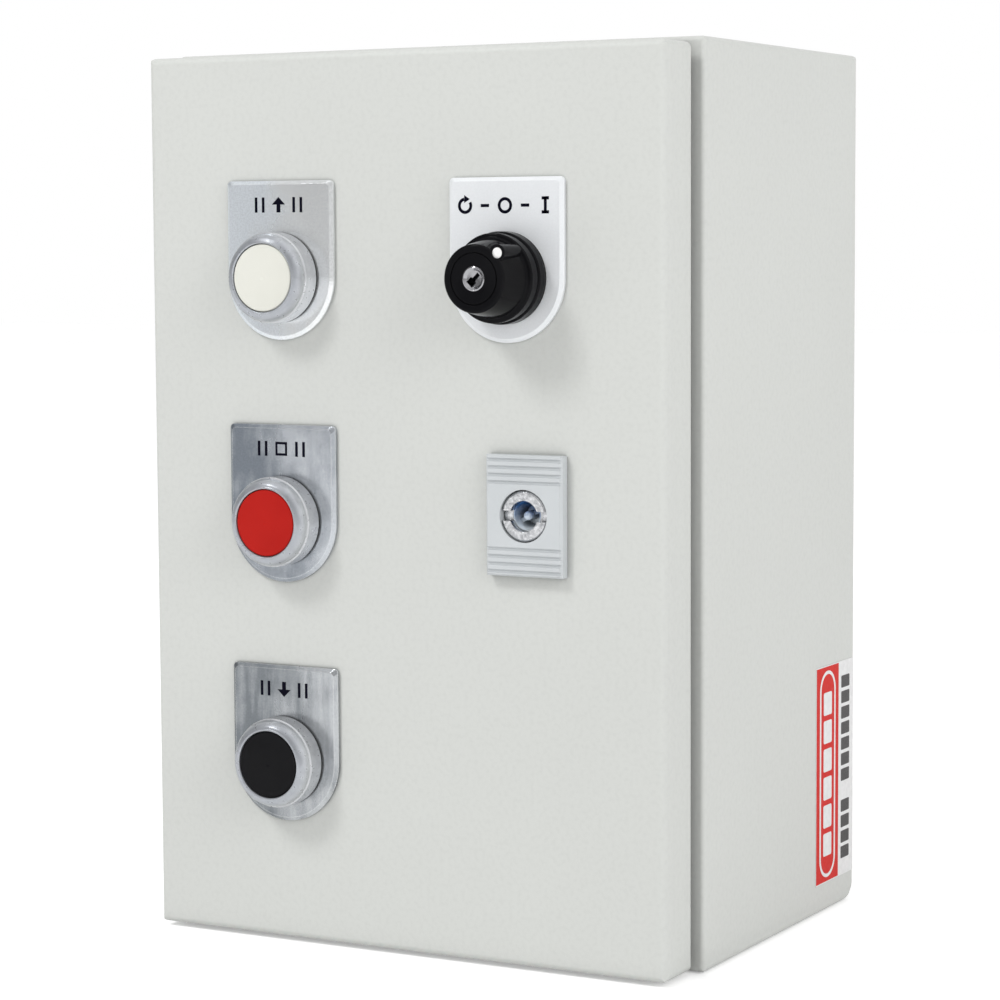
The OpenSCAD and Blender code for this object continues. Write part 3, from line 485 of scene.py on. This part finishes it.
def loft(bm, loops, closed=False):
    """Joins loops of equal length with quads; the ends get caps, or join each other when closed."""
    rings = [[bm.verts.new(point) for point in loop] for loop in loops]
    pairs = list(zip(rings, rings[1:]))
    if closed:
        pairs.append((rings[-1], rings[0]))
    for low, high in pairs:
        for i in range(len(low)):
            j = (i + 1) % len(low)
            bm.faces.new((low[i], low[j], high[j], high[i]))
    if not closed:
        bm.faces.new(list(reversed(rings[0])))
        bm.faces.new(rings[-1])


def circle(u, v, r, n=32):
    """n points round a centre."""
    angles = [2 * math.pi * i / n for i in range(n)]
    return [(u + r * math.cos(a), v + r * math.sin(a)) for a in angles]


def rectangle(u, v, w, h):
    """Four corners round a centre."""
    return [(u - w / 2, v - h / 2), (u + w / 2, v - h / 2), (u + w / 2, v + h / 2), (u - w / 2, v + h / 2)]


def rounded(u, v, w, h, r, n=6):
    """A rectangle with round corners, n steps to a corner."""
    points = []
    for right, up, start in ((1, 1, 0), (-1, 1, 90), (-1, -1, 180), (1, -1, 270)):
        cu = u + right * (w / 2 - r)
        cv = v + up * (h / 2 - r)
        for i in range(n + 1):
            t = math.radians(start + 90 * i / n)
            points.append((cu + r * math.cos(t), cv + r * math.sin(t)))
    return points


def plates(outlines, place, low, high):
    """Flat plates between two heights; place maps (u, v, height) in millimetres to a point in metres.

    An outline is a list of points, or a tuple of an outer and an inner list of equal length for a ring.
    """
    bm = bmesh.new()
    for outline in outlines:
        if isinstance(outline, tuple):
            outer, inner = outline
            sections = [(outer, low), (outer, high), (inner, high), (inner, low)]
            loft(bm, [[place(u, v, w) for u, v in line] for line, w in sections], closed=True)
        else:
            loft(bm, [[place(u, v, w) for u, v in outline] for w in (low, high)])
    return bm


def on_door(x, z):
    """Maps millimetres right, up and out from the door's front face at (x, z)."""
    return lambda u, v, w: Vector((x + u * MM, DOOR_FRONT - w * MM, z + v * MM))


def smooth_path(points, steps):
    """Catmull-Rom curve through points."""
    ends = [2 * points[0] - points[1]] + list(points) + [2 * points[-1] - points[-2]]
    path = []
    for i in range(1, len(ends) - 2):
        a, b, c, d = ends[i - 1:i + 3]
        slope = c - a
        bend = 2 * a - 5 * b + 4 * c - d
        twist = 3 * b - a - 3 * c + d
        for k in range(steps):
            t = k / steps
            path.append(0.5 * (2 * b + slope * t + bend * t * t + twist * t ** 3))
    path.append(points[-1])
    return path


def tube(bm, path, radius, sides):
    """A tube round a path; radius is a number or a function of the place along it, from 0 to 1."""
    turn = [2 * math.pi * k / sides for k in range(sides)]
    loops = []
    side = None
    for i, point in enumerate(path):
        ahead = path[min(i + 1, len(path) - 1)] - path[max(i - 1, 0)]
        ahead.normalize()
        if side is None:
            side = ahead.orthogonal().normalized()
        side = (side - ahead * side.dot(ahead)).normalized()
        over = ahead.cross(side)
        r = radius(i / (len(path) - 1)) if callable(radius) else radius
        loops.append([point + side * (r * math.cos(a)) + over * (r * math.sin(a)) for a in turn])
    loft(bm, loops)


def mm(x, y, z):
    """A point or a step given in millimetres."""
    return Vector((x * MM, y * MM, z * MM))


# ---------------------------------------------------------------- printed marks

# How far ink stands proud, and how deep a print is set into what it lies on, so that no gap shows
INK_THICK = 0.05
SUNK = 0.02
# Height of a mark above the control's axis, the height of the side bars and the width of a line
MARK_RISE = 24.0
BAR_HEIGHT = 5.0
STROKE = 1.0


def arrow(up):
    """An arrow pointing up or down, drawn as a head and a shaft."""
    head = [(-2.6, 0.1), (2.6, 0.1), (0, 2.6)]
    shaft = rectangle(0, -1.2, 1.5, 2.6)
    flip = 1 if up else -1
    return [[(u, MARK_RISE + flip * v) for u, v in part] for part in (head, shaft)]


def square_ring():
    """An open square."""
    outer, inner = 4.6, 3.0
    return [(rectangle(0, MARK_RISE, outer, outer), rectangle(0, MARK_RISE, inner, inner))]


def side_bars():
    """Two upright bars on each side of a mark."""
    gap, step = 6.0, 2.8
    return [rectangle(side * (gap + i * step), MARK_RISE, STROKE, BAR_HEIGHT)
            for side in (-1, 1) for i in (0, 1)]


def arc_band(u, v, r, start, turn):
    """A line round a centre that doesn't close, from one angle in degrees over another."""
    steps = 28
    angles = [math.radians(start + turn * i / steps) for i in range(steps + 1)]
    outer, inner = ([(u + line_r * math.cos(a), v + line_r * math.sin(a)) for a in angles]
                    for line_r in (r + STROKE / 2, r - STROKE / 2))
    return outer + inner[::-1]


def selector_marks():
    """Circular arrow, ring and upright bar: the three places of the key."""
    pitch = 14.5
    v = MARK_RISE - 1
    loop = arc_band(-pitch, v, 2.1, 100, 290)
    tip = [(-pitch - 0.3, v + 3.4), (-pitch - 0.3, v + 0.9), (-pitch + 1.7, v + 2.1)]
    ring_r = 2.6
    ring = (circle(0, v, ring_r), circle(0, v, ring_r - STROKE))
    bar = rectangle(pitch, v, STROKE, 5.2)
    feet = [rectangle(pitch, v + s * 2.2, 2.6, STROKE) for s in (-1, 1)]
    dashes = [rectangle(s * pitch / 2, v, 3.0, STROKE) for s in (-1, 1)]
    return [loop, tip, ring, bar] + feet + dashes


def print_mark(name, outlines, at):
    """Prints outlines in ink on the legend plate of the control at a point."""
    bm = plates(outlines, on_door(at.x, at.z), LEGEND_THICK - SUNK, LEGEND_THICK + INK_THICK)
    add_mesh(name, bm, INK, "door")


MARKS = {"open": arrow(True), "stop": square_ring(), "close": arrow(False)}
for name, mark in MARKS.items():
    print_mark(name + "_mark", mark + side_bars(), BUTTONS[name])
print_mark("selector_marks", selector_marks(), SELECTOR)


def pointer_dot():
    """White filling in the pocket of the knob's pointer."""
    turn = math.radians(45)
    out = 11.4
    pocket_depth = 0.6
    u, v = out * math.sin(turn), out * math.cos(turn)
    front = (DOOR_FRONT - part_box("selector_knob")[0].y) / MM - pocket_depth
    place = on_door(SELECTOR.x, SELECTOR.z)
    bm = bmesh.new()
    # Radius and height of each section, ending in a slight dome
    levels = [(1.7, front - 0.5), (1.7, front - 0.1), (1.5, front + 0.02), (0.9, front + 0.06)]
    loft(bm, [[place(a, b, w) for a, b in circle(u, v, r)] for r, w in levels])
    add_mesh("pointer_dot", bm, WHITE_INK, "selector")


pointer_dot()


def side_label():
    """Hazard-coloured film with a framed band and plain bars, on the right side of the box."""
    low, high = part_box("side_sticker")
    height = (high.z - low.z) / MM
    depth = (high.y - low.y) / MM
    red_w = 0.6 * depth
    skin = 0.04

    def place(u, v, w):
        return Vector((high.x + w * MM, low.y + u * MM, low.z + v * MM))

    def print_film(name, outlines, bottom, top, film):
        add_mesh(name, plates(outlines, place, bottom, top), film, "cabinet")

    margin = 0.35
    red = rectangle(red_w / 2, height / 2, red_w - margin, height - 2 * margin)
    print_film("label_red_field", [red], -SUNK, skin, RED_FILM)

    oval_w, oval_h, line = 14.2, height - 3.6, 1.2
    outer = rounded(red_w / 2, height / 2, oval_w, oval_h, oval_w / 2 - 0.05, 12)
    inner = rounded(red_w / 2, height / 2, oval_w - 2 * line, oval_h - 2 * line, oval_w / 2 - 0.05 - line, 12)
    blocks = [rounded(red_w / 2, height * (0.175 + 0.13 * i), 7.4, 0.105 * height, 0.8) for i in range(6)]
    print_film("label_white_bars", [(outer, inner)] + blocks, skin - 0.01, 2 * skin, WHITE_FILM)

    # Twelve places, of which the fifth stays empty, so that the bars fall into two groups
    mid = (red_w + depth) / 2 - 0.6
    bars = [rounded(mid, height * (0.105 + 0.0725 * i), 7.6, 0.056 * height, 0.5)
            for i in range(12) if i != 4]
    print_film("label_dark_bars", bars, -SUNK, skin, BLACK_FILM)


side_label()


# ---------------------------------------------------------------- springs and cables

def return_spring(name):
    """Compression spring round a plunger's stem; a real one closes up as the button is pressed, this coil
    keeps its rest length.
    """
    low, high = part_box(name + "_spring")
    centre = (low + high) / 2
    wire_r = 0.5 * MM
    coil_r = (high.x - low.x) / 2 - wire_r
    turns, steps = 5.5, 20
    length = high.y - low.y - 2 * wire_r
    path = []
    for i in range(int(turns * steps) + 1):
        t = i / (turns * steps)
        # The end turns lie close together, as on a ground spring
        y = low.y + wire_r + length * (t - 0.06 * math.sin(2 * math.pi * t))
        a = 2 * math.pi * turns * t
        path.append(Vector((centre.x + coil_r * math.cos(a), y, centre.z + coil_r * math.sin(a))))
    bm = bmesh.new()
    tube(bm, path, wire_r, 10)
    piece = add_mesh(name + "_coil", bm, SPRING, "door")
    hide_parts(name + "_spring")
    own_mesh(piece)


for name in BUTTONS:
    return_spring(name)


WIRE_ANGLE = 60


def loom():
    """Corrugated sleeve from the mounting plate to the door, bending at the hinge side; returns its end."""
    sleeve_r, rib_rise, ribs = 3.0, 0.35, 62
    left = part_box("door_loom")[0].x / MM + sleeve_r + 0.4
    points = [
        mm(left + 3.6, -30, -57.5),
        mm(left + 0.4, -62, -56),
        mm(left, -98, -48),
        mm(left + 0.8, -116, -35),
        mm(left + 4, -127, -19),
        mm(left + 8.6, -133, -6),
        mm(left + 11.8, -132.2, 4),
    ]
    bm = bmesh.new()
    tube(bm, smooth_path(points, 22),
         lambda t: (sleeve_r + rib_rise * math.cos(2 * math.pi * ribs * t)) * MM, 18)
    piece = add_mesh("loom_sleeve", bm, SLEEVE, None, WIRE_ANGLE)
    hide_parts("door_loom")
    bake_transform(piece)
    return points[-1]


LOOM_END = loom()
# Screws and wires of a contact block lie at these distances from the control's axis
BLOCK_COLUMN = 7.0
BLOCK_SCREW_ROW = 16.6
BLOCK_WIRE_ROW = 19.5
DOOR_WIRE_COLOURS = ("blue", "red", "brown", "black")


def door_wire(name, colour, points):
    """One thin wire on the door."""
    bm = bmesh.new()
    tube(bm, smooth_path(points, 6), 0.75 * MM, 10)
    add_mesh("door_wire_" + name, bm, WIRE_COLOURS[colour], "door", WIRE_ANGLE)


def button_wires():
    """Two wires from the loom to each push button, in lanes beside the contact blocks."""
    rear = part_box("pushbutton_contact_blocks")[1].y
    for k, name in enumerate(("open", "close", "stop")):
        at = BUTTONS[name]
        # The wires of the two upper buttons go up from the loom, and those of the lowest go down
        leave = 8 if at.z > LOOM_END.z - 20 * MM else -4
        for i, u in enumerate((-BLOCK_COLUMN, BLOCK_COLUMN)):
            start = LOOM_END + mm((i - 0.5) * 1.6, 0.6, (k - 1) * 0.8)
            x = at.x - (17.5 + 1.6 * i) * MM
            y = rear - (9 - 2.2 * k) * MM
            terminal = Vector((at.x + u * MM, rear - 6 * MM, at.z + BLOCK_WIRE_ROW * MM))
            points = [
                start,
                Vector((x, y, LOOM_END.z + leave * MM)),
                Vector((x, y, at.z + 14 * MM)),
                Vector((x + 5 * MM, y, at.z + 23 * MM)),
                terminal + mm(0, 2.5, 5),
                terminal,
            ]
            door_wire("%s_%d" % (name, i), DOOR_WIRE_COLOURS[(k + i) % 4], points)


def selector_wires():
    """Two wires from the loom over the upper push button to the key selector."""
    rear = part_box("selector_contact_block")[1].y
    upper = BUTTONS["open"]
    for i, u in enumerate((-BLOCK_COLUMN, BLOCK_COLUMN)):
        rise = (30 + 2 * i) * MM
        terminal = Vector((SELECTOR.x + u * MM, rear - 6 * MM, SELECTOR.z + BLOCK_WIRE_ROW * MM))
        points = [
            LOOM_END + mm(0, 0, 1.5),
            Vector((LOOM_END.x + 1 * MM, rear - 4 * MM, LOOM_END.z + 40 * MM)),
            Vector((upper.x - 17 * MM, rear - 3 * MM, upper.z + 18 * MM)),
            Vector((upper.x, rear - 4 * MM, upper.z + rise)),
            Vector((SELECTOR.x - 14 * MM, rear - 4 * MM, SELECTOR.z + rise)),
            terminal + mm(0, 2, 5),
            terminal,
        ]
        door_wire("selector_%d" % i, DOOR_WIRE_COLOURS[i], points)


button_wires()
selector_wires()


def panel_wires():
    """Wires between the rail-mounted devices, bowed a little from side to side."""
    y = centre_of("internal_wires").y
    upper_low = height_span("breaker_case")[0]
    contactor_low, contactor_high = height_span("open_contactor_case")
    duct_low, duct_high = height_span("wiring_duct")
    terminal_top = height_span("terminal_blocks")[1]
    into_duct = 2 * MM
    # Each wire's x in millimetres, its lower and upper end, and how far its lower end sits back
    runs = [(x, contactor_high, upper_low, 0) for x in (-54, -44, -34, -24, 1, 11, 21, 31)]
    runs += [(x, duct_high - into_duct, upper_low, 0) for x in (50, 60)]
    runs += [(x, duct_high - into_duct, contactor_low, 0) for x in (-60, -50, -40, -30, 0, 10, 20, 30)]
    runs += [(x, terminal_top, duct_low + into_duct, 4.2 * MM) for x in range(-40, 21, 10)]
    bms = {colour: bmesh.new() for colour in ("brown", "black", "grey", "blue")}
    colours = list(bms)
    for i, (x, low, high, back) in enumerate(runs):
        bow = (1.6 if i % 2 else 2.4) * (1 if i % 3 else -0.6)
        points = [
            Vector((x * MM, y + back, low - 0.5 * MM)),
            Vector((x * MM, y + back, low + 2 * MM)),
            Vector(((x + bow) * MM, y - 1.5 * MM, (low + high) / 2)),
            Vector((x * MM, y, high - 2 * MM)),
            Vector((x * MM, y, high + 0.5 * MM)),
        ]
        tube(bms[colours[i % 4]], smooth_path(points, 6), 1.1 * MM, 12)
    for colour, bm in bms.items():
        name = "panel_wires_" + colour
        add_mesh(name, bm, WIRE_COLOURS[colour], "cabinet", WIRE_ANGLE)
    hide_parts("internal_wires")


panel_wires()


# ---------------------------------------------------------------- screws, labels and lamps

def cross_outline(length, width):
    """Sixteen points of a plus sign and their directions; length and width are those of half an arm."""
    corner = math.atan2(width, length)
    angles = [quarter * math.pi / 2 + a
              for quarter in range(4) for a in (0, corner, math.pi / 4, math.pi / 2 - corner)]
    points = []
    for a in angles:
        # A ray from the centre leaves the level arm or the upright arm, whichever reaches further
        c, s = max(abs(math.cos(a)), 1e-9), max(abs(math.sin(a)), 1e-9)
        r = max(min(length / c, width / s), min(width / c, length / s))
        points.append((r * math.cos(a), r * math.sin(a)))
    return points, angles


def screw_head(bm, place, radius, rise):
    """A pan head with a cross recess; place maps (u, v, height) in millimetres."""
    recess, angles = cross_outline(0.62 * radius, 0.16 * radius)
    levels = [(radius, 0), (radius, 0.55 * rise), (0.9 * radius, 0.85 * rise), (0.72 * radius, rise)]
    loops = [[place(r * math.cos(a), r * math.sin(a), w) for a in angles] for r, w in levels]
    loops.append([place(u, v, rise) for u, v in recess])
    loops.append([place(0.8 * u, 0.8 * v, 0.25 * rise) for u, v in recess])
    loft(bm, loops)


def facing_front(x, y, z):
    """Maps millimetres right, up and towards the front from a point in metres."""
    return lambda u, v, w: Vector((x + u * MM, y - w * MM, z + v * MM))


def facing_rear(x, y, z):
    """Maps millimetres left, up and towards the rear from a point in metres."""
    return lambda u, v, w: Vector((x - u * MM, y + w * MM, z + v * MM))


# The screw wells of each device: x of the first, pitch, number in a row, height of the rows
# above and below the rail, depth of the well's floor in front of the rail, and radius of a screw
SCREW_WELLS = {
    "breaker_case": (9, 18, 2, 34, 42, 2.3),
    "power_supply": (7.5, 7, 4, 34, 42, 2.3),
    "door_timer_case": (8, 9, 5, 34, 42, 2.3),
    "open_contactor_case": (7.5, 10, 4, 23.5, 36, 2.7),
    "close_contactor_case": (7.5, 10, 4, 23.5, 36, 2.7),
}
SCREW_RISE = 1.6


def case_screws():
    """Terminal screws in the wells of the rail-mounted devices."""
    # Each case reaches behind the rail's front face by the depth of its clip
    clip_depth = 2.6
    bm = bmesh.new()
    for node, (first, pitch, count, row, well_floor, radius) in SCREW_WELLS.items():
        low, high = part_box(node)
        y = high.y - (clip_depth + well_floor) * MM
        for i in range(count):
            for side in (-1, 1):
                x = low.x + (first + i * pitch) * MM
                z = (low.z + high.z) / 2 + side * row * MM
                screw_head(bm, facing_front(x, y, z), radius, SCREW_RISE)
    add_mesh("device_screws", bm, ZINC, "cabinet")


def block_screws():
    """Terminal screws in the contact blocks behind the door, in wells that open towards the rear."""
    well_depth = 11
    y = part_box("pushbutton_contact_blocks")[1].y - well_depth * MM
    bm = bmesh.new()
    for at in list(BUTTONS.values()) + [SELECTOR]:
        for u in (-BLOCK_COLUMN, BLOCK_COLUMN):
            for v in (-BLOCK_SCREW_ROW, BLOCK_SCREW_ROW):
                screw_head(bm, facing_rear(at.x + u * MM, y, at.z + v * MM), 2.6, SCREW_RISE)
    add_mesh("block_screws", bm, ZINC, "door")


def supply_lamp():
    """A small domed lamp on the front of the power supply."""
    low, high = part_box("power_supply")
    place = facing_front(low.x + 28 * MM, low.y, (low.z + high.z) / 2 + 14 * MM)
    # Radius and height of each section
    levels = [(1.5, -3), (1.5, 0.2), (1.2, 0.7), (0.6, 1.0)]
    bm = bmesh.new()
    loft(bm, [[place(u, v, w) for u, v in circle(0, 0, r, 20)] for r, w in levels])
    add_mesh("supply_lamp", bm, LAMP, "cabinet")


def device_labels():
    """Blank white strips on the fronts of the devices, each at its height above the middle."""
    bm = bmesh.new()
    for node, rise in (("breaker_case", 16.5), ("power_supply", -16.5),
                       ("open_contactor_case", -13.5), ("close_contactor_case", -13.5)):
        low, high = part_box(node)
        place = facing_front((low.x + high.x) / 2, low.y, (low.z + high.z) / 2 + rise * MM)
        strip = rounded(0, 0, 0.6 * (high.x - low.x) / MM, 4.2, 0.6)
        loft(bm, [[place(u, v, w) for u, v in strip] for w in (-SUNK, 0.12)])
    add_mesh("device_labels", bm, WHITE_INK, "cabinet")


case_screws()
block_screws()
supply_lamp()
device_labels()


# ---------------------------------------------------------------- camera

# Place in metres; yaw to the left, pitch down and roll in degrees; sensor and focal length in millimetres
CAMERA_PLACE = Vector((0.4939, -0.9845, 0.0865))
CAMERA_YAW, CAMERA_PITCH, CAMERA_ROLL = (math.radians(a) for a in (28.65, 5.02, -0.30))
SENSOR = 36.0
FOCAL = 106.9


def camera():
    """A long lens to the right of the box, a little above its middle."""
    data = bpy.data.cameras.new("camera")
    data.sensor_width = SENSOR
    data.lens = FOCAL
    data.clip_start = 0.01
    obj = bpy.data.objects.new("camera", data)
    bpy.context.scene.collection.objects.link(obj)
    forward = Vector((-math.sin(CAMERA_YAW) * math.cos(CAMERA_PITCH),
                      math.cos(CAMERA_YAW) * math.cos(CAMERA_PITCH), -math.sin(CAMERA_PITCH)))
    right = Vector((math.cos(CAMERA_YAW), math.sin(CAMERA_YAW), 0))
    up = right.cross(forward)
    side = right * math.cos(CAMERA_ROLL) + up * math.sin(CAMERA_ROLL)
    top = up * math.cos(CAMERA_ROLL) - right * math.sin(CAMERA_ROLL)
    turn = Matrix((side, top, -forward)).transposed().to_4x4()
    obj.matrix_world = Matrix.Translation(CAMERA_PLACE) @ turn
    bpy.context.scene.camera = obj


camera()


# ---------------------------------------------------------------- floor and light

# Strength of the even light, of the floor's own light as the camera sees it, and of the reflected
# room, which is brightest towards WINDOW, above and to the right of the box
SKY = 0.70
FLOOR_LIFT = 0.34
WINDOW = (0.6, 0.5, 0.7)
ROOM_LOW = 0.27
ROOM_HIGH = 1.0


def floor():
    """A plain pale floor just below the box."""
    z = CAD_BOX[0][2] - 0.5 * MM
    bm = bmesh.new()
    bm.faces.new([bm.verts.new((x, y, z)) for x, y in rectangle(0, 0, 12, 12)])
    mesh = bpy.data.meshes.new("floor")
    bm.to_mesh(mesh)
    bm.free()
    obj = bpy.data.objects.new("floor", mesh)
    bpy.context.scene.collection.objects.link(obj)
    m = Mat("floor", rough=0.9, specular=0.1)
    m.colour(m.ramp(m.noise(2, 2), [(0.3, 0.93), (0.7, 0.95)]))
    # The floor looks as white as the sweep behind it, and lights the object like plain paper
    rays = m.new("ShaderNodeLightPath")
    m.bsdf.inputs["Emission Color"].default_value = (1, 1, 1, 1)
    lift = m.new("ShaderNodeMath", operation="MULTIPLY")
    lift.inputs[1].default_value = FLOOR_LIFT
    m.link(rays.outputs["Is Camera Ray"], lift.inputs[0])
    m.link(lift.outputs[0], m.bsdf.inputs["Emission Strength"])
    mesh.materials.append(m.mat)


def surroundings():
    """White to the camera, even soft light on matt surfaces, and a dimmer room in reflections."""
    world = bpy.data.worlds.new("studio")
    bpy.context.scene.world = world
    world.use_nodes = True
    nodes = world.node_tree.nodes
    link = world.node_tree.links.new
    background = nodes["Background"]
    background.inputs["Color"].default_value = (1, 1, 1, 1)
    rays = nodes.new("ShaderNodeLightPath")

    towards = nodes.new("ShaderNodeVectorMath")
    towards.operation = "DOT_PRODUCT"
    towards.inputs[1].default_value = WINDOW
    link(nodes.new("ShaderNodeTexCoord").outputs["Generated"], towards.inputs[0])
    room = nodes.new("ShaderNodeMapRange")
    for key, value in (("From Min", -0.15), ("From Max", 0.65), ("To Min", ROOM_LOW), ("To Max", ROOM_HIGH)):
        room.inputs[key].default_value = value
    link(towards.outputs["Value"], room.inputs["Value"])

    # The last two sockets of a Mix node of numbers are its values without and with the ray
    glossy = nodes.new("ShaderNodeMix")
    link(rays.outputs["Is Glossy Ray"], glossy.inputs[0])
    glossy.inputs[2].default_value = SKY
    link(room.outputs["Result"], glossy.inputs[3])
    seen = nodes.new("ShaderNodeMix")
    link(rays.outputs["Is Camera Ray"], seen.inputs[0])
    link(glossy.outputs[0], seen.inputs[2])
    seen.inputs[3].default_value = 1.0
    link(seen.outputs[0], background.inputs["Strength"])


def softbox(name, place, size, power, mirrored=False):
    """An area light turned to the box, with its power in watts; only a mirrored one shows in reflections."""
    target = Vector((0, -0.1, 0))
    data = bpy.data.lights.new(name, "AREA")
    data.shape = "RECTANGLE"
    data.size, data.size_y = size
    data.energy = power
    light = bpy.data.objects.new(name, data)
    bpy.context.scene.collection.objects.link(light)
    light.location = place
    light.rotation_euler = (target - Vector(place)).to_track_quat("-Z", "Y").to_euler()
    light.visible_glossy = mirrored


floor()
surroundings()
softbox("key", (-0.8, -1.5, 1.7), (0.5, 0.5), 15.5)
softbox("side", (1.7, -0.7, 0.7), (1.2, 1.2), 12)
softbox("glint", (-0.7, -1.1, 1.2), (0.12, 0.5), 3, mirrored=True)
bpy.context.scene.view_settings.view_transform = "Standard"
